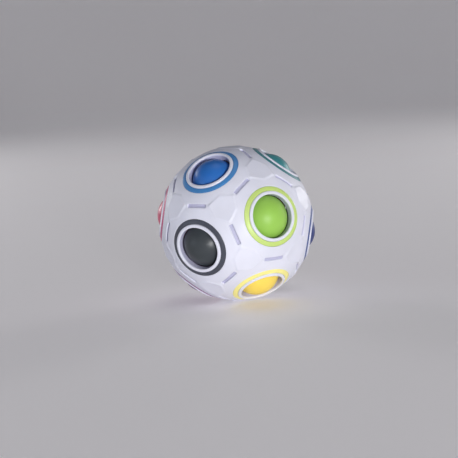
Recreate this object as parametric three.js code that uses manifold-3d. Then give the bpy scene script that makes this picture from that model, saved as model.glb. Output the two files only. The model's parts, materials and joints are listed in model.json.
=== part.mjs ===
// A rainbow-ball puzzle: a hollow white plastic ball with twelve round holes, one in each
// direction of an icosahedron, and eleven captive coloured balls that can be pressed in and
// rolled inside from hole to hole, because one hole is always empty.
// Millimetres, +Z up. The puzzle stands on one of its flat hexagonal panels, at Z = 0.
import * as THREE from 'three';
import { mergeVertices } from 'three/addons/utils/BufferGeometryUtils.js';
import Module from 'manifold-3d';

const wasm = await Module();
wasm.setup();

// The shell
const SHELL_R = 35;             // outside radius of the white ball
const CAVITY_R = 31.9;          // radius of its hollow
const SEAM_GAP = 0.3;           // air between the two half shells
const FIT_GAP = 0.25;           // air around each coloured ring in its seat
const TONGUE_R = 33.2;          // outside radius of the front shell's locating tongue
const TONGUE_REACH = 1.5;       // how far the tongue passes the seam

// Each hole, as radii from its own axis and heights from the centre of the ball
const THROAT_R = 9.55;          // narrowest part, at the hollow: it holds the ball in
const THROAT_Z = 30.45;
const LIP_INNER_R = 9.63;       // mouth of the hole
const LIP_TOP_Z = 33.88;        // the lip stands just proud of the shell
const LIP_OUTER_R = 11.1;
const LIP_SHOULDER_Z = 33.62;   // top of the lip's outside edge
const RING_OUTER_R = 13.15;
const RING_BOTTOM_Z = 31.6;
const RING_RISE = 0.12;         // the band's inner edge stands this much over the shell

// Surface relief
const PANEL_FACE = 34.8;        // from the centre to the flat of each hexagonal panel
const PANEL_ROOT = 32.6;        // from the centre to the buried end of the panel's block
const PANEL_TO_GROOVE = 7.3;    // corner radius of a panel towards a groove
const PANEL_TO_RING = 5.9;      // corner radius of a panel towards a hole
const PANEL_CHAMFER = 0.15;
const GROOVE = new THREE.Vector3(9.5, 1.7, 0.8);   // length, width and depth

// What the shell holds
const BALL_R = 10.5;
const BALL_SEAT = 25.6;         // from the centre of the shell to the centre of a seated ball
const CORE_R = 14.8;            // foam core that pushes the balls outwards

const SHELL_SPLITS = 5;         // each sphere is an icosahedron with its edges split this often
const CAVITY_SPLITS = 3;
const BALL_SPLITS = 4;
const TURNS = 24;               // flats around each hole, lip and ring
const SEAM_TURNS = 48;          // flats around the seam

// The twelve holes stand in four rings of three around the vertical axis. The polar angles
// are those of an icosahedron standing on a face.
const STEEP = THREE.MathUtils.radToDeg(Math.atan(3 - Math.sqrt(5)));
const FLAT = THREE.MathUtils.radToDeg(Math.atan(3 + Math.sqrt(5)));
const HOLES = [
  { name: 'blue', polar: STEEP, azimuth: -120, ball: 0x3070c0, ring: 0x4a88c4 },
  { name: 'teal', polar: STEEP, azimuth: 0, ball: 0x428c92, ring: 0x48868e },
  { name: 'orange', polar: STEEP, azimuth: 120, ball: 0xee8830, ring: 0xee8830 },
  { name: 'green', polar: FLAT, azimuth: -60, ball: 0x92ca54, ring: 0xcce484 },
  { name: 'red', polar: FLAT, azimuth: 60, ball: 0xc82c2e, ring: 0xc82c2e },
  { name: 'magenta', polar: FLAT, azimuth: 180, ball: 0xdc4a72, ring: 0xcc5084 },
  { name: 'black', polar: 180 - FLAT, azimuth: -120, ball: 0x3e4347, ring: 0x4a4d58 },
  { name: 'navy', polar: 180 - FLAT, azimuth: 0, ball: 0x2c3c7c, ring: 0x425694 },
  { name: 'brown', polar: 180 - FLAT, azimuth: 120, ball: 0x784e34, ring: 0x784e34 },
  { name: 'yellow', polar: 180 - STEEP, azimuth: -60, ball: 0xfcde5c, ring: 0xfdf296 },
  { name: 'white', polar: 180 - STEEP, azimuth: 60, ball: null, ring: 0xececf0 },
  { name: 'purple', polar: 180 - STEEP, azimuth: 180, ball: 0x8c5498, ring: 0x9c6296 },
];
for (const hole of HOLES) {
  hole.axis = new THREE.Vector3().setFromSphericalCoords(
    1,
    THREE.MathUtils.degToRad(hole.polar),
    THREE.MathUtils.degToRad(hole.azimuth),
  );
  hole.axis.set(hole.axis.z, hole.axis.x, hole.axis.y);
}
const SEAM_AXIS = HOLES.find((hole) => hole.name === 'green').axis;

// ---------------------------------------------------------------- solids for joins and cuts

function toSolid(geometry, matrix = new THREE.Matrix4()) {
  const bare = geometry.clone().applyMatrix4(matrix);
  bare.deleteAttribute('normal');
  bare.deleteAttribute('uv');
  const merged = mergeVertices(bare, 1e-4);
  return new wasm.Manifold(new wasm.Mesh({
    numProp: 3,
    vertProperties: new Float32Array(merged.attributes.position.array),
    triVerts: new Uint32Array(merged.index.array),
  }));
}

function toGeometry(solid) {
  const { vertProperties, triVerts } = solid.getMesh();
  const geometry = new THREE.BufferGeometry();
  geometry.setAttribute('position', new THREE.BufferAttribute(vertProperties, 3));
  geometry.setIndex(new THREE.BufferAttribute(triVerts, 1));
  geometry.computeVertexNormals();
  return geometry;
}

// Turns a solid of revolution, made around Y, to stand along an axis of the ball.
function along(axis) {
  const turn = new THREE.Quaternion().setFromUnitVectors(new THREE.Vector3(0, 1, 0), axis);
  return new THREE.Matrix4().makeRotationFromQuaternion(turn);
}

// A frame with its Z outwards and its X towards a neighbour.
function outwardFrame(outwards, towards) {
  const side = new THREE.Vector3().crossVectors(outwards, towards).normalize();
  const ahead = new THREE.Vector3().crossVectors(side, outwards);
  return new THREE.Matrix4().makeBasis(ahead, side, outwards);
}

// A ring or plug turned from [radius, height] points, listed anticlockwise.
function turned(points, segments = TURNS) {
  return new THREE.LatheGeometry(points.map(([r, z]) => new THREE.Vector2(r, z)), segments);
}

function shellHeight(radius) {
  return Math.sqrt(SHELL_R ** 2 - radius ** 2);
}

// ---------------------------------------------------------------- features of the shell

// The lip's blank: the hole trims its inside, and the ring's seat trims its outside.
function lipGeometry() {
  const inner = LIP_INNER_R - 0.6;
  const outer = LIP_OUTER_R + 0.4;
  const slope = (LIP_TOP_Z - LIP_SHOULDER_Z) / (LIP_OUTER_R - LIP_INNER_R);
  const topAt = (radius) => LIP_TOP_Z - slope * (radius - LIP_INNER_R);
  const bottom = RING_BOTTOM_Z + 1;
  return turned([
    [inner, bottom], [outer, bottom], [outer, topAt(outer)], [inner, topAt(inner)],
    [inner, bottom],
  ]);
}

// The hole tapers from its mouth to its throat, and opens at 45 degrees below the throat.
function holeGeometry() {
  const slope = (LIP_INNER_R - THROAT_R) / (LIP_TOP_Z - THROAT_Z);
  const relief = 2;
  const over = 2;
  return turned([
    [0, THROAT_Z - relief], [THROAT_R + relief, THROAT_Z - relief], [THROAT_R, THROAT_Z],
    [LIP_INNER_R + slope * over, LIP_TOP_Z + over], [0, LIP_TOP_Z + over],
  ]);
}

function ringSeatGeometry() {
  const [inner, outer] = [LIP_OUTER_R, RING_OUTER_R + FIT_GAP];
  const [bottom, top] = [RING_BOTTOM_Z - FIT_GAP, LIP_TOP_Z + 2];
  return turned([
    [inner, bottom], [outer, bottom], [outer, top], [inner, top], [inner, bottom],
  ]);
}

function ringGeometry() {
  const inner = LIP_OUTER_R + FIT_GAP;
  return turned([
    [inner, RING_BOTTOM_Z], [RING_OUTER_R, RING_BOTTOM_Z],
    [RING_OUTER_R, shellHeight(RING_OUTER_R)], [inner, shellHeight(inner) + RING_RISE],
    [inner, RING_BOTTOM_Z],
  ]);
}

function hexagonShape() {
  const shape = new THREE.Shape();
  for (let corner = 0; corner < 6; corner += 1) {
    const radius = corner % 2 ? PANEL_TO_GROOVE : PANEL_TO_RING;
    const angle = corner * Math.PI / 3;
    const [x, y] = [radius * Math.cos(angle), radius * Math.sin(angle)];
    if (corner) shape.lineTo(x, y);
    else shape.moveTo(x, y);
  }
  shape.closePath();
  return shape;
}

function panelGeometry() {
  const block = new THREE.ExtrudeGeometry(hexagonShape(), {
    depth: PANEL_FACE - PANEL_ROOT - 2 * PANEL_CHAMFER,
    bevelSize: PANEL_CHAMFER,
    bevelThickness: PANEL_CHAMFER,
    bevelOffset: -PANEL_CHAMFER,
    bevelSegments: 1,
  });
  return block.translate(0, 0, PANEL_ROOT + PANEL_CHAMFER);
}

// The cap of the sphere that would stand above a flat panel.
function capGeometry() {
  const reach = PANEL_TO_RING - 0.7;
  const bottom = PANEL_FACE - 0.4;
  return new THREE.CylinderGeometry(reach, reach, 2, 16).rotateX(Math.PI / 2)
    .translate(0, 0, bottom + 1);
}

function grooveGeometry() {
  return new THREE.BoxGeometry(GROOVE.y, GROOVE.x, 2 * GROOVE.z).translate(0, 0, SHELL_R);
}

// Neighbouring holes are 63.4 degrees apart, and the next ones are 116.6 degrees apart.
function areNeighbours(first, second) {
  return Math.abs(first.axis.dot(second.axis) - 1 / Math.sqrt(5)) < 0.01;
}

function outwardsBetween(...holes) {
  const sum = new THREE.Vector3();
  holes.forEach((hole) => sum.add(hole.axis));
  return sum.normalize();
}

// One frame for each pair of neighbouring holes, which have a groove half-way between them.
function grooveFrames() {
  return HOLES.flatMap((first, i) => HOLES.slice(i + 1)
    .filter((second) => areNeighbours(first, second))
    .map((second) => outwardFrame(outwardsBetween(first, second), second.axis)));
}

// One frame for each three holes around a hexagonal panel.
function panelFrames() {
  const frames = [];
  HOLES.forEach((first, i) => HOLES.slice(i + 1).forEach((second, j) => {
    HOLES.slice(i + j + 2).forEach((third) => {
      const pairs = [[first, second], [second, third], [first, third]];
      if (!pairs.every(([one, other]) => areNeighbours(one, other))) return;
      frames.push(outwardFrame(outwardsBetween(first, second, third), first.axis));
    });
  }));
  return frames;
}

function wholeShell() {
  const copies = (geometry, frames) => frames.map((frame) => toSolid(geometry, frame));
  const holeFrames = HOLES.map((hole) => along(hole.axis));
  const panels = panelFrames();
  const outside = toSolid(new THREE.IcosahedronGeometry(SHELL_R, SHELL_SPLITS))
    .subtract(wasm.Manifold.union(copies(capGeometry(), panels)));
  const added = [...copies(panelGeometry(), panels), ...copies(lipGeometry(), holeFrames)];
  const cut = [
    ...copies(holeGeometry(), holeFrames),
    ...copies(ringSeatGeometry(), holeFrames),
    ...copies(grooveGeometry(), grooveFrames()),
    toSolid(new THREE.IcosahedronGeometry(CAVITY_R, CAVITY_SPLITS)),
  ];
  return wasm.Manifold.union([outside, ...added]).subtract(wasm.Manifold.union(cut));
}

// A band around the seam axis, between two radii and two heights.
function seamBand(inner, outer, bottom, top) {
  const band = turned([
    [inner, bottom], [outer, bottom], [outer, top], [inner, top], [inner, bottom],
  ], SEAM_TURNS);
  return toSolid(band, along(SEAM_AXIS));
}

// The half space on one side of the seam, as a block larger than the ball.
function sideBlock(sign) {
  const size = 3 * SHELL_R;
  const block = new THREE.BoxGeometry(size, size, size)
    .translate(0, sign * (size + SEAM_GAP) / 2, 0);
  return toSolid(block, along(SEAM_AXIS));
}

// Two half shells: a tongue on the front one locates it inside the rear one's edge.
function halfShells() {
  const shell = wholeShell();
  const inner = CAVITY_R - 2;
  const overlap = 1;
  const tongue = seamBand(inner, TONGUE_R, -TONGUE_REACH, overlap);
  const socket = seamBand(inner, TONGUE_R + SEAM_GAP, -TONGUE_REACH - SEAM_GAP, overlap);
  return {
    front: shell.intersect(sideBlock(1).add(tongue)),
    rear: shell.intersect(sideBlock(-1)).subtract(socket),
  };
}

// ---------------------------------------------------------------- the assembly

function plastic(colour, roughness) {
  return new THREE.MeshStandardMaterial({ color: colour, roughness, metalness: 0 });
}

function addPart(parent, name, geometry, material) {
  const mesh = new THREE.Mesh(geometry, material);
  mesh.name = name;
  parent.add(mesh);
  return mesh;
}

// Everything at one hole: its coloured ring, and its ball if it has one.
function addHole(parent, hole) {
  const station = new THREE.Group();
  station.quaternion.setFromUnitVectors(new THREE.Vector3(0, 1, 0), hole.axis);
  addPart(station, `ring_${hole.name}`, ringGeometry(), plastic(hole.ring, 0.35));
  if (hole.ball !== null) {
    const ball = new THREE.IcosahedronGeometry(BALL_R, BALL_SPLITS);
    addPart(station, `ball_${hole.name}`, ball, plastic(hole.ball, 0.25))
      .position.set(0, BALL_SEAT, 0);
  }
  parent.add(station);
}

const puzzle = new THREE.Group();
puzzle.position.z = PANEL_FACE;
const halves = halfShells();
addPart(puzzle, 'front_shell', toGeometry(halves.front), plastic(0xe2e3f0, 0.3));
addPart(puzzle, 'rear_shell', toGeometry(halves.rear), plastic(0xe2e3f0, 0.3));
const core = new THREE.IcosahedronGeometry(CORE_R, BALL_SPLITS);
addPart(puzzle, 'foam_core', core, plastic(0x55585c, 0.95));
HOLES.forEach((hole) => addHole(puzzle, hole));

export default puzzle;
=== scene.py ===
"""The looks of a rainbow-ball puzzle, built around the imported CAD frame.

Shape work is done in millimetres around the centre of the puzzle, and turned into metres in the
row frame when a piece is made. Profiles of turned shapes are lists of (radius, height) pairs
about a hole's axis.
"""
import json
import math

import bmesh
import bpy
import numpy as np
from mathutils import Matrix, Vector, noise
from mathutils.geometry import delaunay_2d_cdt


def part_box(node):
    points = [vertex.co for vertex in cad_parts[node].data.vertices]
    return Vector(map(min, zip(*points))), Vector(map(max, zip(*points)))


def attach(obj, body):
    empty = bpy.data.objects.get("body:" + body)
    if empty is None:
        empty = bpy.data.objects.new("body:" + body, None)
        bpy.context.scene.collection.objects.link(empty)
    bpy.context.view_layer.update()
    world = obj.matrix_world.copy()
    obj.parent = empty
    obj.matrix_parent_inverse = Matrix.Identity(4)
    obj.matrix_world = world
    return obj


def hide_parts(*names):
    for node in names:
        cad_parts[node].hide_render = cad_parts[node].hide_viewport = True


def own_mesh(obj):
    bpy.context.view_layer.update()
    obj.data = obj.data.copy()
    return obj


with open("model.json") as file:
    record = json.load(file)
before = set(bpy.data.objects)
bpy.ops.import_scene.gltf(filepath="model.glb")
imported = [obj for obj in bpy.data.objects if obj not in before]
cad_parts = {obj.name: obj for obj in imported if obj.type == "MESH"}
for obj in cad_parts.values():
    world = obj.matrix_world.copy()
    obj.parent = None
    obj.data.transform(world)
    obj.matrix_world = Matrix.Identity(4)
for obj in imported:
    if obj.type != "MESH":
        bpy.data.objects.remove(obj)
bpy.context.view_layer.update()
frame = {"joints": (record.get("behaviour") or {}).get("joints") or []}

# ------------------------------------------------------------------ driving dimensions, in mm

MM = 0.001
CORE_BOX = [np.array(corner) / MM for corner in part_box("foam_core")]
CENTRE = np.mean(CORE_BOX, axis=0)      # of the puzzle, in the row frame
PANEL_FACE = CENTRE[2]                  # the puzzle stands on one of its flat panels

SHELL_R = 35.0
CAVITY_R = 31.9
SEAM_GAP = 0.08

GROOVE_HALF = (0.85, 4.75)              # across and along each recessed groove
GROOVE_CORNER = 0.3
GROOVE_DEPTH = 0.8
PANEL_TO_RING = 5.9                     # corner radii of the hexagonal panels
PANEL_TO_GROOVE = 7.3
PANEL_ROUND = 0.9                       # how far their corners are rounded

RIM_R = 13.5                            # where the smooth sphere ends around each hole
SEAT_R = 13.22                          # the ring's seat
SEAT_FLOOR_Z = 31.4
RING_R = (11.16, 13.16)                 # inside and outside
RING_FLOOR_Z = 31.6
LIP_R = (9.63, 11.1)                    # inside and outside
LIP_TOP_Z = 33.88
THROAT_R = 9.57                         # the narrowest place of the hole
THROAT_Z = 30.6
WALL_END_R = 9.9                        # where the hole opens into the cavity

BALL_R = 10.45
BALL_SEAT = 25.6                        # from the puzzle's centre to a ball's centre
BEAD = 0.03                             # height of a ball's parting line
BEAD_ANGLE = 0.006                      # half its width, seen from the ball's centre
POLE_LEAN = 0.25                        # of a ball's poles: sideways, for each 1 along the axis

FOAM_R = 14.7
FOAM_DENT = 0.35                        # pressed in by the ball at rest
FOAM_DENT_ANGLE = 13                    # degrees around the hole's axis
FOAM_PITS = 0.12                        # depth of the pits left by open cells
FOAM_WAVES = 9                          # of the noise that pits it, in one radius

# How finely things are divided
ARC_STEPS = 12                          # flats of a hole in each tenth of its circle
GROOVE_STEP = 0.55
PANEL_STEP = 0.6
SURFACE_STEP = 1.05
CAVITY_STEP = 3.2
BALL_TURNS = 72
BALL_STEPS = 25                         # from pole to parting line
FOAM_STEPS = 9
FLOOR_TURNS = 96

# Tolerances, in mm
WELD = 0.002                            # points nearer than this become one
ON_LINE = 0.001                         # points nearer than this are on a line
SEAM_TOUCH = 1e-4                       # points nearer than this are on the seam

# Angles of an icosahedron, seen from a groove, which stands between two holes and two panels
HOLE_TILT = math.atan((math.sqrt(5) - 1) / 2)
PANEL_TILT = math.atan((3 - math.sqrt(5)) / 2)
TENTH = math.radians(36)                # the tile's share of a turn around the hole
SIXTH = math.radians(60)                # and around the panel

# The twelve holes by colour: polar angle in radians and azimuth in degrees
STEEP = math.atan(3 - math.sqrt(5))
FLAT = math.atan(3 + math.sqrt(5))
HOLES = {
    "blue": (STEEP, -120), "teal": (STEEP, 0), "orange": (STEEP, 120),
    "green": (FLAT, -60), "red": (FLAT, 60), "magenta": (FLAT, 180),
    "black": (math.pi - FLAT, -120), "navy": (math.pi - FLAT, 0), "brown": (math.pi - FLAT, 120),
    "yellow": (math.pi - STEEP, -60), "white": (math.pi - STEEP, 60),
    "purple": (math.pi - STEEP, 180),
}
EMPTY = "white"
SEAM_HOLE = "green"                     # the seam is square to this hole's axis


def from_angles(polar, azimuth_degrees):
    """A direction, from its angle to +Z and its angle round from +X."""
    azimuth = math.radians(azimuth_degrees)
    flat = math.sin(polar)
    return np.array([flat * math.cos(azimuth), flat * math.sin(azimuth), math.cos(polar)])


AXES = {name: from_angles(*angles) for name, angles in HOLES.items()}


def unit(vector):
    return vector / np.linalg.norm(vector)


def square_to(vector, axis):
    """The direction of vector with its part along axis taken away."""
    return unit(vector - axis * (vector @ axis))


def sides_around(axis, first, second):
    """Two directions square to an axis: one towards the first, one leaning to the second."""
    ahead = square_to(first, axis)
    return ahead, square_to(second - (second @ ahead) * ahead, axis)


def neighbours(name):
    """The five holes next to a hole."""
    beside = 1 / math.sqrt(5)
    return [other for other, axis in AXES.items() if abs(axis @ AXES[name] - beside) < 0.01]


# ------------------------------------------------------------------ camera

LENS = 108.5                            # on a 36 mm sensor
CAMERA_DISTANCE = 627.7                 # mm from the puzzle's centre
CAMERA_AZIMUTH = 1.62                   # degrees round from -Y towards +X
CAMERA_ELEVATION = 8.42
CAMERA_ROLL = -3.21
CAMERA_AIM = (-3.3, -2.72)              # mm from the puzzle's centre to the middle of the view


def add_camera():
    """Looks at the puzzle's centre, then slides across the view by the aim without turning."""
    azimuth, elevation = math.radians(CAMERA_AZIMUTH), math.radians(CAMERA_ELEVATION)
    back = Vector((math.sin(azimuth) * math.cos(elevation),
                   -math.cos(azimuth) * math.cos(elevation), math.sin(elevation)))
    right = Vector((0, 0, 1)).cross(back).normalized()
    right.rotate(Matrix.Rotation(math.radians(CAMERA_ROLL), 3, back))
    up = back.cross(right)
    place = back * CAMERA_DISTANCE + right * CAMERA_AIM[0] + up * CAMERA_AIM[1]
    camera = bpy.data.objects.new("camera", bpy.data.cameras.new("camera"))
    camera.data.lens = LENS
    camera.data.clip_start = 0.01
    basis = Matrix((right, up, back)).transposed().to_4x4()
    camera.matrix_world = Matrix.Translation((Vector(CENTRE) + place) * MM) @ basis
    bpy.context.scene.collection.objects.link(camera)
    bpy.context.scene.camera = camera


# ------------------------------------------------------------------ mesh helpers

def mesh_object(name, vertices, faces, weld=True):
    """An object from points in mm around the puzzle's centre, smooth apart from real edges."""
    mesh = bpy.data.meshes.new(name)
    placed = (np.asarray(vertices) + CENTRE) * MM
    mesh.from_pydata(placed.tolist(), [], faces)
    piece = bpy.data.objects.new(name, mesh)
    bpy.context.scene.collection.objects.link(piece)
    work = bmesh.new()
    work.from_mesh(mesh)
    if weld:
        bmesh.ops.remove_doubles(work, verts=work.verts, dist=WELD * MM)
    bmesh.ops.recalc_face_normals(work, faces=work.faces)
    work.to_mesh(mesh)
    work.free()
    smooth(piece)
    return piece


def smooth(piece, sharp_degrees=55):
    """Smooth shading, except over edges that turn by more than this."""
    piece.data.shade_smooth()
    piece.data.set_sharp_from_angle(angle=math.radians(sharp_degrees))


def weigh_normals(piece):
    """Large faces keep their own shading right up to a bevel."""
    weights = piece.modifiers.new("weighted normals", "WEIGHTED_NORMAL")
    weights.keep_sharp = True


def lathe(profile, axis, towards, turns, closed=False):
    """Points and faces of a profile turned about an axis through the puzzle's centre."""
    profile = np.asarray(profile, float)
    first = square_to(towards, axis)
    second = np.cross(axis, first)
    angles = np.arange(turns) * 2 * math.pi / turns
    around = np.outer(np.cos(angles), first) + np.outer(np.sin(angles), second)
    points = profile[None, :, :1] * around[:, None, :] + profile[None, :, 1:] * axis
    count = len(profile)
    faces = []
    for turn in range(turns):
        here, after = turn * count, (turn + 1) % turns * count
        for k in range(count if closed else count - 1):
            following = (k + 1) % count
            faces.append((here + k, after + k, after + following, here + following))
    return points.reshape(-1, 3), faces


def join(parts):
    """One list of points and one of faces from several."""
    points, faces, start = [], [], 0
    for some_points, some_faces in parts:
        points.append(some_points)
        faces += [tuple(i + start for i in face) for face in some_faces]
        start += len(some_points)
    return np.concatenate(points), faces


# ------------------------------------------------------------------ the shell's surface
#
# The sphere is 120 copies, 60 of them mirrored, of one tile: the triangle between the centres
# of a hole, a panel and the groove next to both. The tile's own axes are X towards the hole, Y
# towards the panel and Z out of the groove.

HOLE_AXIS = np.array([math.sin(HOLE_TILT), 0, math.cos(HOLE_TILT)])
PANEL_AXIS = np.array([0, math.sin(PANEL_TILT), math.cos(PANEL_TILT)])
GROOVE_AXIS = np.array([0.0, 0.0, 1.0])
HOLE_SIDES = sides_around(HOLE_AXIS, GROOVE_AXIS, PANEL_AXIS)
PANEL_SIDES = sides_around(PANEL_AXIS, HOLE_AXIS, GROOVE_AXIS)


def flatten(points):
    """Points on the sphere laid out on the plane that touches it at the groove."""
    points = np.asarray(points)
    return points[:, :2] / points[:, 2:] * SHELL_R


def raise_flat(flat):
    """Directions of points laid out on that plane."""
    points = np.column_stack([flat, np.full(len(flat), SHELL_R)])
    return points / np.linalg.norm(points, axis=1)[:, None]


def hole_arc(radius, height):
    """The tile's share of a circle around the hole."""
    angles = np.linspace(0, TENTH, ARC_STEPS + 1)
    around = np.outer(np.cos(angles), HOLE_SIDES[0]) + np.outer(np.sin(angles), HOLE_SIDES[1])
    return radius * around + height * HOLE_AXIS


def arc(centre, radius, start, end, steps):
    """Points on a flat arc, with both ends."""
    angles = np.linspace(start, end, steps + 1)
    return np.array(centre) + radius * np.column_stack([np.cos(angles), np.sin(angles)])


def run(start, end, step):
    """Points along a straight line, without its ends."""
    start, end = np.asarray(start, float), np.asarray(end, float)
    count = max(1, round(np.linalg.norm(end - start) / step))
    shares = np.arange(1, count)[:, None] / count
    return start + shares * (end - start)


def groove_line(offset, depth):
    """A quarter of the groove's outline, moved outwards by offset, at a depth."""
    half = np.array(GROOVE_HALF) + offset
    radius = max(GROOVE_CORNER + offset, GROOVE_CORNER / 5)
    corner = arc(half - radius, radius, 0, math.pi / 2, 4)
    side, end = [half[0], 0], [0, half[1]]
    flat = np.concatenate([[side], run(side, corner[0], GROOVE_STEP), corner, [end]])
    return raise_flat(flat) * (SHELL_R - depth)


def panel_side():
    """The straight side of the panel in the tile: a point on it, and its outward normal."""
    first = np.array([PANEL_TO_RING, 0.0])
    second = PANEL_TO_GROOVE * np.array([math.cos(SIXTH), math.sin(SIXTH)])
    along = unit(second - first)
    return first, np.array([along[1], -along[0]])


def on_panel(directions):
    """Where directions meet the panel's plane: radius from the centre, and place on it."""
    reach = PANEL_FACE / (directions @ PANEL_AXIS)
    place = directions * reach[:, None]
    return reach, np.column_stack([place @ PANEL_SIDES[0], place @ PANEL_SIDES[1]])


def panel_line(offset, share):
    """A sixth of the panel's outline, moved outwards, raised by a share from sphere to flat."""
    point, normal = panel_side()
    lean = math.atan2(normal[1], normal[0])
    centres = []
    for angle in (0, SIXTH):
        outwards = np.array([math.cos(angle), math.sin(angle)])
        reach = (point @ normal - PANEL_ROUND) / (outwards @ normal)
        centres.append(outwards * reach)
    first = arc(centres[0], PANEL_ROUND + offset, 0, lean, 4)
    second = arc(centres[1], PANEL_ROUND + offset, lean, SIXTH, 6)
    flat = np.concatenate([first, run(first[-1], second[0], PANEL_STEP), second])
    place = np.outer(flat[:, 0], PANEL_SIDES[0]) + np.outer(flat[:, 1], PANEL_SIDES[1])
    place = place + PANEL_AXIS * PANEL_FACE
    directions = place / np.linalg.norm(place, axis=1)[:, None]
    reach, _ = on_panel(directions)
    return directions * (SHELL_R + share * (reach - SHELL_R))[:, None]


# Across the groove's edge: offsets of the outline, and depths
GROOVE_EDGE = [(0.2, 0.0), (0.11, 0.015), (0.04, 0.06), (0.0, 0.15), (-0.03, 0.62), (-0.09, 0.75),
               (-0.2, GROOVE_DEPTH)]

# Across the panel's bevel: offsets of the outline, and shares of the rise from sphere to panel
PANEL_EDGE = [(0.35, 0.0), (0.3, 0.02), (0.22, 0.1), (-0.55, 0.9), (-0.64, 0.98), (-0.72, 1.0)]
PANEL_TOP_INSET = 0.4                   # free points this far inside the outline are on the panel


def surface_radius(directions):
    """The height of the tile's plain stretches: sphere, panel top and groove floor."""
    radius = np.full(len(directions), SHELL_R)
    reach, place = on_panel(directions)
    point, normal = panel_side()
    inside = (place - point) @ normal < -PANEL_TOP_INSET
    radius[inside] = reach[inside]
    floor = (abs(flatten(directions)) < GROOVE_HALF).all(axis=1)
    radius[floor] = SHELL_R - GROOVE_DEPTH
    return radius


def triangle_rows(step):
    """Staggered rows of points over the flattened tile, step apart."""
    far = flatten([PANEL_AXIS])[0, 1]
    wide = flatten([HOLE_AXIS])[0, 0]
    height = step * math.sqrt(3) / 2
    rows = []
    for row in range(1, int(far / height)):
        y = row * height
        start = row % 2 * step / 2 + step / 2
        across = np.arange(start, wide * (1 - y / far) - step / 3, step)
        rows.append(np.column_stack([across, np.full(len(across), y)]))
    return rows


def fill_points(corners, lines, step):
    """Points spread over the tile and along its sides, clear of the lines drawn on it."""
    sides = [run(start, end, step) for start, end in zip(corners, corners[1:] + corners[:1])]
    spread = np.concatenate(sides + triangle_rows(step))
    drawn = np.concatenate([flatten(line) for line in lines])
    gaps = np.linalg.norm(spread[:, None] - drawn[None], axis=2).min(axis=1)
    directions = raise_flat(spread)
    tilt = np.arccos(directions @ HOLE_AXIS)
    rim = math.acos(unit(lines[0][0]) @ HOLE_AXIS)
    clear = step * 0.45
    return directions[(gaps > clear) & (tilt > rim)]


def along_side(flat, start, end):
    """The points on a straight side of the tile, in order, with neither end."""
    start, end = np.asarray(start), np.asarray(end)
    length = np.linalg.norm(end - start)
    along = (flat - start) @ (end - start) / length
    aside = np.cross(end - start, flat - start) / length
    on_side = (abs(aside) < ON_LINE) & (along > ON_LINE) & (along < length - ON_LINE)
    return sorted(np.nonzero(on_side)[0], key=lambda k: along[k])


def tile(rim, lines, radius_of, step):
    """The tile's points and triangles, in its own axes.

    The rim is its arc around the hole, and the lines are the edges drawn across it. The outline
    runs along the rim, to the panel's centre, to the groove's centre and back to the rim.
    """
    rim_start, rim_end = flatten(rim[[0, -1]])
    panel = flatten([PANEL_AXIS])[0]
    groove = flatten([GROOVE_AXIS])[0]
    free = fill_points([rim_start, groove, panel, rim_end], [rim] + lines, step)
    free = np.concatenate([[PANEL_AXIS, GROOVE_AXIS], free])
    free = free * radius_of(free)[:, None]
    points = np.concatenate([rim] + lines + [free])
    edges, start = [], 0
    for line in [rim] + lines:
        edges += [(k, k + 1) for k in range(start, start + len(line) - 1)]
        start += len(line)
    flat = flatten(points)
    panel_index, groove_index = start, start + 1
    outline = [
        *range(len(rim)),
        *along_side(flat, rim_end, panel), panel_index,
        *along_side(flat, panel, groove), groove_index,
        *along_side(flat, groove, rim_start),
    ]
    places = [Vector(place) for place in flat]
    outline = [int(k) for k in outline]
    inside_only = 1
    _, _, faces, sources, _, _ = delaunay_2d_cdt(places, edges, [outline], inside_only, 1e-5)
    return points[[source[0] for source in sources]], [tuple(face) for face in faces]


def spread_tile(points, faces, holes=tuple(AXES)):
    """Copies of the tile all round these holes."""
    parts = []
    for name in holes:
        axis, around = AXES[name], neighbours(name)
        for beside in around:
            for third in [other for other in neighbours(beside) if other in around]:
                groove = unit(axis + AXES[beside])
                basis = np.array([*sides_around(groove, axis, AXES[third]), groove])
                mirrored = np.linalg.det(basis) < 0
                turned = [face[::-1] for face in faces] if mirrored else faces
                parts.append((points @ basis, turned))
    return parts


def sphere_z(radius, sphere=SHELL_R):
    """The height on a sphere at a radius from the hole's axis."""
    return math.sqrt(sphere ** 2 - radius ** 2)


def hole_profile():
    """From the sphere in: the ring's seat, the lip, the tapered wall and the throat."""
    seat_top = sphere_z(SEAT_R)
    rounded_rim = [
        (RIM_R, sphere_z(RIM_R)), (13.37, sphere_z(13.37) - 0.01),
        (13.28, sphere_z(13.28) - 0.05), (13.235, seat_top - 0.13), (SEAT_R, seat_top - 0.26),
    ]
    seat = [(SEAT_R, SEAT_FLOOR_Z), (LIP_R[1], SEAT_FLOOR_Z)]
    lip = [
        (LIP_R[1], 33.34), (11.06, 33.48), (10.95, 33.6), (10.76, 33.72), (10.48, 33.82),
        (10.18, LIP_TOP_Z), (9.95, LIP_TOP_Z), (9.79, 33.82), (9.68, 33.7), (LIP_R[0], 33.52),
    ]
    wall = [(9.62, 33.1), (9.61, 32.4), (9.59, 31.3), (THROAT_R, THROAT_Z)]
    inner_edge = [(9.6, 30.48), (9.7, 30.42), (WALL_END_R, sphere_z(WALL_END_R, CAVITY_R))]
    return rounded_rim + seat + lip + wall + inner_edge


def outside_tile():
    """The tile with its share of a groove and of a raised panel."""
    lines = [groove_line(*edge) for edge in GROOVE_EDGE]
    lines += [panel_line(*edge) for edge in PANEL_EDGE]
    rim = hole_arc(RIM_R, sphere_z(RIM_R))
    return tile(rim, lines, surface_radius, SURFACE_STEP)


def inside_tile():
    """The tile on the plain sphere of the cavity."""
    rim = hole_arc(*hole_profile()[-1])
    return tile(rim, [], lambda directions: np.full(len(directions), CAVITY_R), CAVITY_STEP)


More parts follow.
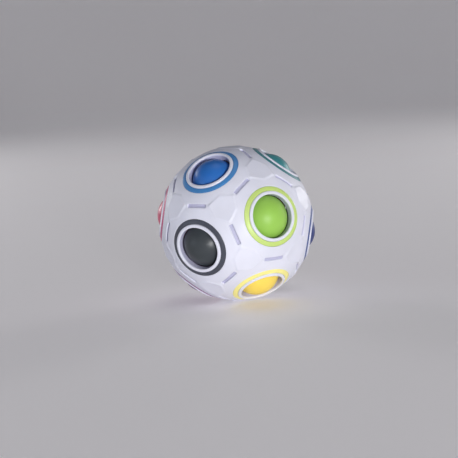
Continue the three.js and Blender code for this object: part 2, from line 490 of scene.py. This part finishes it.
def whole_shell():
    """Points and faces of both half shells before they are parted."""
    parts = spread_tile(*outside_tile())
    parts += spread_tile(*inside_tile())
    for name, axis in AXES.items():
        beside = AXES[neighbours(name)[0]]
        parts.append(lathe(hole_profile(), axis, beside, 10 * ARC_STEPS))
    return join(parts)


def half_shell(name, whole, side):
    """The part of the shell on one side of the seam, closed along it."""
    piece = mesh_object(name, *whole)
    axis = Vector(AXES[SEAM_HOLE]) * side
    work = bmesh.new()
    work.from_mesh(piece.data)
    bmesh.ops.bisect_plane(
        work, geom=work.verts[:] + work.edges[:] + work.faces[:], dist=SEAM_TOUCH * MM,
        plane_co=Vector(CENTRE) * MM + axis * SEAM_GAP / 2 * MM, plane_no=axis,
        clear_inner=True)
    open_edges = [edge for edge in work.edges if edge.is_boundary]
    bmesh.ops.triangle_fill(work, edges=open_edges, use_beauty=True)
    bmesh.ops.recalc_face_normals(work, faces=work.faces)
    work.to_mesh(piece.data)
    work.free()
    smooth(piece)
    weigh_normals(piece)
    return piece


# ------------------------------------------------------------------ rings, balls and foam

def ring_profile():
    """A band with a slightly crowned top that follows the sphere, and rounded edges."""
    inner, outer = RING_R
    crown = [(inner, -0.2), (11.19, -0.07), (11.3, 0.03), (11.6, 0.07), (12.1, 0.07),
             (12.6, 0.04), (12.95, -0.01), (13.09, -0.07), (13.15, -0.17), (outer, -0.3)]
    top = [(radius, sphere_z(radius) + rise) for radius, rise in crown]
    return [(inner, RING_FLOOR_Z), *top, (outer, RING_FLOOR_Z)]


def add_ring(name):
    """The coloured band that lies in its seat around a hole."""
    axis, beside = AXES[name], AXES[neighbours(name)[0]]
    points, faces = lathe(ring_profile(), axis, beside, 10 * ARC_STEPS, closed=True)
    piece = mesh_object(f"ring_{name}_band", points, faces)
    weigh_normals(piece)
    return piece


def ball_profile():
    """Half an outline of a ball, pole to pole, with the hair-thin bead of its parting line."""
    equator = math.pi / 2
    angles = list(np.linspace(0, equator - 5 * BEAD_ANGLE, BALL_STEPS + 1))
    angles += [equator - BEAD_ANGLE * k for k in (2.5, 1.2, 0.5)]
    angles += [math.pi - angle for angle in reversed(angles)]
    radii = [BALL_R - (BEAD if abs(angle - equator) > BEAD_ANGLE else 0) for angle in angles]
    return [(r * math.sin(angle), r * math.cos(angle)) for r, angle in zip(radii, angles)]


def add_ball(name, number):
    """A ball whose parting line leans a way of its own, but stays down in the throat at rest."""
    axis = AXES[name]
    side = square_to(AXES[neighbours(name)[number % 5]], axis)
    pole = unit(axis + POLE_LEAN * side)
    points, faces = lathe(ball_profile(), pole, side, BALL_TURNS)
    return mesh_object(f"ball_{name}_gloss", points + axis * BALL_SEAT, faces)


def foam_radius(direction, axis):
    """Foam pressed in a little by the ball that rests on it, and pitted by its open cells."""
    tilt = math.degrees(math.acos(min(1.0, direction @ axis)))
    dent = FOAM_DENT * math.exp(-(tilt / FOAM_DENT_ANGLE) ** 2)
    cells = noise.fractal(Vector(direction) * FOAM_WAVES, 0.7, 2.2, 4)
    return FOAM_R - dent - FOAM_PITS * abs(cells)


def foam_tile(steps=FOAM_STEPS):
    """The tile on a sphere of radius 1, closed at its far side down to the centre."""
    corners = np.array([HOLE_AXIS, GROOVE_AXIS, PANEL_AXIS])
    grid = [(i, j) for i in range(steps + 1) for j in range(steps + 1 - i)]
    index = {place: k for k, place in enumerate(grid)}
    weights = np.array([(steps - i - j, i, j) for i, j in grid]) / steps
    flat = weights @ corners
    points = flat / np.linalg.norm(flat, axis=1)[:, None]
    faces = []
    for i, j in grid:
        if i + j < steps:
            faces.append((index[i, j], index[i + 1, j], index[i, j + 1]))
        if i + j < steps - 1:
            faces.append((index[i + 1, j], index[i + 1, j + 1], index[i, j + 1]))
    tip = len(points)
    points = np.concatenate([points, np.zeros((1, 3))])
    outer = [index[steps - k, k] for k in range(steps + 1)]
    faces += [(a, tip, b) for a, b in zip(outer, outer[1:])]
    return points, faces


def add_foam(name):
    """The share of the foam core behind one hole: a wedge from the centre to its surface."""
    points, faces = join(spread_tile(*foam_tile(), holes=[name]))
    for k, length in enumerate(np.linalg.norm(points, axis=1)):
        on_surface = length > 0.5
        if on_surface:
            points[k] *= foam_radius(points[k], AXES[name])
    return mesh_object(f"foam_core_{name}", points, faces)


# ------------------------------------------------------------------ materials

def srgb(red, green, blue):
    """Linear values of a colour given as 0 to 255."""
    def linear(value):
        value /= 255
        return value / 12.92 if value <= 0.04045 else ((value + 0.055) / 1.055) ** 2.4
    return (linear(red), linear(green), linear(blue), 1.0)


SHELL_COLOUR = srgb(226, 227, 240)
BALL_COLOURS = {
    "blue": srgb(48, 112, 192), "teal": srgb(66, 140, 146), "orange": srgb(238, 136, 48),
    "green": srgb(157, 206, 91), "red": srgb(200, 44, 46), "magenta": srgb(220, 74, 114),
    "black": srgb(62, 67, 71), "navy": srgb(44, 60, 124), "brown": srgb(120, 78, 52),
    "yellow": srgb(247, 217, 98), "purple": srgb(140, 84, 152),
}
RING_COLOURS = dict(
    BALL_COLOURS, teal=srgb(72, 134, 142), blue=srgb(74, 136, 196), green=srgb(200, 224, 128),
    magenta=srgb(204, 80, 132), black=srgb(74, 77, 88), navy=srgb(66, 86, 148),
    yellow=srgb(253, 242, 150), purple=srgb(156, 98, 150), white=srgb(236, 236, 240))
# Painted shade: grooves and holes coloured darker and more lavender than the outer surface
RECESS_SHADE_COLOUR = srgb(188, 187, 212)
RECESS_SHADE_R = (34.3, 34.65)                # radii: full painted recess shade below, none on the outer surface above
FOAM_COLOUR = srgb(88, 90, 96)
PIT_PAINTED_SHADE = 0.35                        # of the foam's colour: painted shade down in its cells
PIT_DEPTH = 0.3

SHELL_ROUGHNESS = 0.46
GLOSS_ROUGHNESS = 0.36                  # balls and rings

# Detail of the moulded plastic: depth of its relief in mm, and waves per metre
BAND_RIPPLE = 0.012
BALL_RIPPLE = 0.006
GRAIN = 0.0025
TONE_WAVES = 60
SMEAR_WAVES = 140
RIPPLE_WAVES = 110
GRAIN_WAVES = 2600
CELL_WAVES = 900.0                      # of the foam


class Nodes:
    """A short way to build a material's node tree. Noise scales are in waves per metre."""

    def __init__(self, name, roughness, **settings):
        self.material = bpy.data.materials.new(name)
        self.material.use_nodes = True
        self.tree = self.material.node_tree
        self.shader = self.tree.nodes["Principled BSDF"]
        self.shader.inputs["Roughness"].default_value = roughness
        for socket, value in settings.items():
            self.shader.inputs[socket.replace("_", " ")].default_value = value
        self.place = self.add("ShaderNodeTexCoord").outputs["Object"]

    def add(self, kind, **inputs):
        node = self.tree.nodes.new(kind)
        for socket, value in inputs.items():
            self.set(node.inputs[socket.replace("_", " ")], value)
        return node

    def set(self, socket, value):
        if isinstance(value, bpy.types.NodeSocket):
            self.tree.links.new(value, socket)
        else:
            socket.default_value = value

    def noise(self, scale, detail=3.0, roughness=0.5):
        return self.add("ShaderNodeTexNoise", Vector=self.place, Scale=scale, Detail=detail,
                        Roughness=roughness).outputs["Fac"]

    def spread(self, value, low, high, start=0.0, end=1.0):
        """Maps a value from one range to another."""
        node = self.add("ShaderNodeMapRange", Value=value)
        for socket, number in zip(("From Min", "From Max", "To Min", "To Max"),
                                  (low, high, start, end)):
            node.inputs[socket].default_value = number
        return node.outputs["Result"]

    def mix(self, share, first, second):
        """A colour between two; the node's sockets 0, 6, 7 and 2 are those of its colour mode."""
        node = self.tree.nodes.new("ShaderNodeMix")
        node.data_type = "RGBA"
        for socket, value in zip((0, 6, 7), (share, first, second)):
            self.set(node.inputs[socket], value)
        return node.outputs[2]

    def bump(self, height, depth_mm, before=None):
        node = self.add("ShaderNodeBump", Height=height, Strength=1.0, Distance=depth_mm * MM)
        if before:
            self.tree.links.new(before, node.inputs["Normal"])
        return node.outputs["Normal"]

    def recess_shade(self):
        """Share of painted shade: 1 in the grooves and down the holes, 0 on the shell's outer
        surface.
        """
        node = self.tree.nodes.new("ShaderNodeVectorMath")
        node.operation = "DISTANCE"
        self.set(node.inputs[0], self.place)
        self.set(node.inputs[1], tuple(CENTRE * MM))
        low, high = RECESS_SHADE_R
        return self.spread(node.outputs["Value"], low * MM, high * MM, 1.0, 0.0)

    def finish(self, colour, roughness=None, normal=None):
        self.set(self.shader.inputs["Base Color"], colour)
        if roughness:
            self.set(self.shader.inputs["Roughness"], roughness)
        if normal:
            self.set(self.shader.inputs["Normal"], normal)
        return self.material


def tinted(colour, factor):
    """A lighter or darker shade of a colour."""
    return tuple(min(1.0, channel * factor) for channel in colour[:3]) + (1.0,)


def moulded_plastic(name, colour, roughness, subsurface, ripple=BAND_RIPPLE, shade_recesses=False):
    """Plastic with a slow tone change, a fine moulded grain, faint flow ripples and smears;
    painted shade in recesses if asked.
    """
    nodes = Nodes(name, roughness, Subsurface_Weight=subsurface, Subsurface_Scale=1.2 * MM,
                  IOR=1.5, Specular_IOR_Level=0.32)
    nodes.shader.inputs["Subsurface Radius"].default_value = (1.0, 0.9, 0.8)
    tone = nodes.spread(nodes.noise(TONE_WAVES, 2), 0.35, 0.65)
    body = nodes.mix(tone, tinted(colour, 0.95), tinted(colour, 1.03))
    if shade_recesses:
        # painted shade: a darker colour in the grooves and down the holes
        body = nodes.mix(nodes.recess_shade(), body, RECESS_SHADE_COLOUR)
    smears = nodes.spread(nodes.noise(SMEAR_WAVES, 4, 0.6), 0.4, 0.7,
                          roughness * 0.85, roughness * 1.3)
    ripples = nodes.bump(nodes.noise(RIPPLE_WAVES, 2), ripple)
    grain = nodes.bump(nodes.noise(GRAIN_WAVES, 2, 0.7), GRAIN, ripples)
    return nodes.finish(body, smears, grain)


def foam():
    """Open-cell foam: pits painted darker as shade, between paler struts."""
    nodes = Nodes("foam", 0.95)
    cells = nodes.add("ShaderNodeTexVoronoi", Vector=nodes.place, Scale=CELL_WAVES)
    struts = nodes.spread(cells.outputs["Distance"], 0.15, 0.6)
    # painted shade: the colour darkens towards the middle of each cell
    colour = nodes.mix(struts, tinted(FOAM_COLOUR, PIT_PAINTED_SHADE), FOAM_COLOUR)
    return nodes.finish(colour, normal=nodes.bump(struts, PIT_DEPTH))


# ------------------------------------------------------------------ assembly

def use(piece, material, body, slot, *nodes):
    """Dresses a piece and says which body it rides on and which CAD nodes it stands for."""
    piece.data.materials.append(material)
    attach(piece, body)
    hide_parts(*nodes)


def add_shells():
    """The two white mouldings, one on each side of the seam."""
    whole = whole_shell()
    white = moulded_plastic("white shell plastic", SHELL_COLOUR, SHELL_ROUGHNESS,
                            subsurface=0.1, shade_recesses=True)
    for node, side in (("front_shell", 1), ("rear_shell", -1)):
        use(half_shell(f"{node}_moulding", whole, side), white, "shell", "white_shell", node)


def add_hole(name, number):
    """The ring around a hole, and the ball in it."""
    band = moulded_plastic(f"{name} ring plastic", RING_COLOURS[name], GLOSS_ROUGHNESS,
                           subsurface=0.05)
    use(add_ring(name), band, "shell", f"{name}_ring", f"ring_{name}")
    if name != EMPTY:
        gloss = moulded_plastic(f"{name} ball plastic", BALL_COLOURS[name], GLOSS_ROUGHNESS,
                                subsurface=0.08, ripple=BALL_RIPPLE)
        use(add_ball(name, number), gloss, f"{name}_ball", f"{name}_ball", f"ball_{name}")


def add_core():
    """One wedge behind each hole; the wedge behind each ball that slides gets a mesh of its own.
    """
    material = foam()
    presses = {joint["child"]: joint for joint in frame["joints"] if joint["type"] == "slide"}
    for name in AXES:
        wedge = add_foam(name)
        use(wedge, material, "shell", "foam", "foam_core")
        joint = presses.get(f"{name}_ball")
        if joint:
            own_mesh(wedge)


# ------------------------------------------------------------------ stage

# The floor and backdrop, in metres: a flat disc, with a pinhole under the puzzle, that bends up
# over a quarter of an ellipse
PINHOLE = 0.001
FLOOR_FLAT = 1.3
BACKDROP_REACH = 2.6
BACKDROP_RISE = 1.5
FLOOR_COLOURS = (srgb(234, 230, 231), srgb(239, 235, 236))
FLOOR_GLOW = 0.16                       # the floor is lit from below, like a light table
GLOW_COLOUR = (1.0, 0.98, 1.0, 1.0)

HORIZON = (0.07, 0.085, 0.13, 1.0)
CEILING = (0.01, 0.012, 0.02, 1.0)

COOL = (0.75, 0.88, 1.0)
WHITE = (1.0, 1.0, 1.0)

# Place in metres from the puzzle's centre, size in metres, power in watts, colour
LIGHTS = {
    "key": ((0.3, -0.95, 0.01), 0.08, 6.9, WHITE),
    "soft box left": ((-0.4, -0.75, 0.5), 0.2, 0.12, WHITE),
    "soft box right": ((0.42, -0.8, 0.36), 0.2, 0.12, WHITE),
    "side fill": ((-0.8, -0.3, 0.08), 0.2, 0.5, COOL),
    "overhead": ((0.05, 0.1, 0.9), 0.4, 0.8, WHITE),
    "rear right": ((0.75, 0.7, 0.2), 0.3, 2.2, WHITE),
    "rear left": ((-0.75, 0.7, 0.2), 0.3, 2.2, WHITE),
}


def add_stage():
    """A pale floor that curves up all round into a plain backdrop."""
    bend = [
        (FLOOR_FLAT + (BACKDROP_REACH - FLOOR_FLAT) * math.sin(angle),
         BACKDROP_RISE * (1 - math.cos(angle)))
        for angle in np.linspace(0, math.pi / 2, 16)
    ]
    profile = np.array([(PINHOLE, 0.0), (0.3, 0.0)] + bend) / MM
    upwards, ahead = np.array([0, 0, 1.0]), np.array([1.0, 0, 0])
    points, faces = lathe(profile, upwards, ahead, FLOOR_TURNS)
    piece = mesh_object("floor", points - CENTRE, faces, weld=False)
    nodes = Nodes("pale floor", 0.7)
    tone = nodes.spread(nodes.noise(3, 3), 0.3, 0.7)
    nodes.shader.inputs["Emission Color"].default_value = GLOW_COLOUR
    nodes.shader.inputs["Emission Strength"].default_value = FLOOR_GLOW
    piece.data.materials.append(nodes.finish(nodes.mix(tone, *FLOOR_COLOURS)))


def add_light(name, place, size, power, colour):
    """A square area light aimed at the puzzle."""
    light = bpy.data.objects.new(name, bpy.data.lights.new(name, "AREA"))
    light.data.size = size
    light.data.energy = power
    light.data.color = colour
    light.location = Vector(CENTRE * MM) + Vector(place)
    light.rotation_euler = Vector(place).to_track_quat("Z", "Y").to_euler()
    bpy.context.scene.collection.objects.link(light)


def add_world():
    """A dim bluish room, lighter towards the horizon."""
    world = bpy.data.worlds.new("studio")
    world.use_nodes = True
    tree = world.node_tree
    height = tree.nodes.new("ShaderNodeSeparateXYZ")
    tree.links.new(tree.nodes.new("ShaderNodeTexCoord").outputs["Generated"], height.inputs[0])
    sky = tree.nodes.new("ShaderNodeMix")
    sky.data_type = "RGBA"
    tree.links.new(height.outputs["Z"], sky.inputs[0])
    sky.inputs[6].default_value = HORIZON
    sky.inputs[7].default_value = CEILING
    tree.links.new(sky.outputs[2], tree.nodes["Background"].inputs["Color"])
    bpy.context.scene.world = world
    bpy.context.scene.view_settings.view_transform = "Standard"


add_camera()
add_stage()
for name, settings in LIGHTS.items():
    add_light(name, *settings)
add_world()
add_shells()
for number, name in enumerate(AXES):
    add_hole(name, number)
add_core()
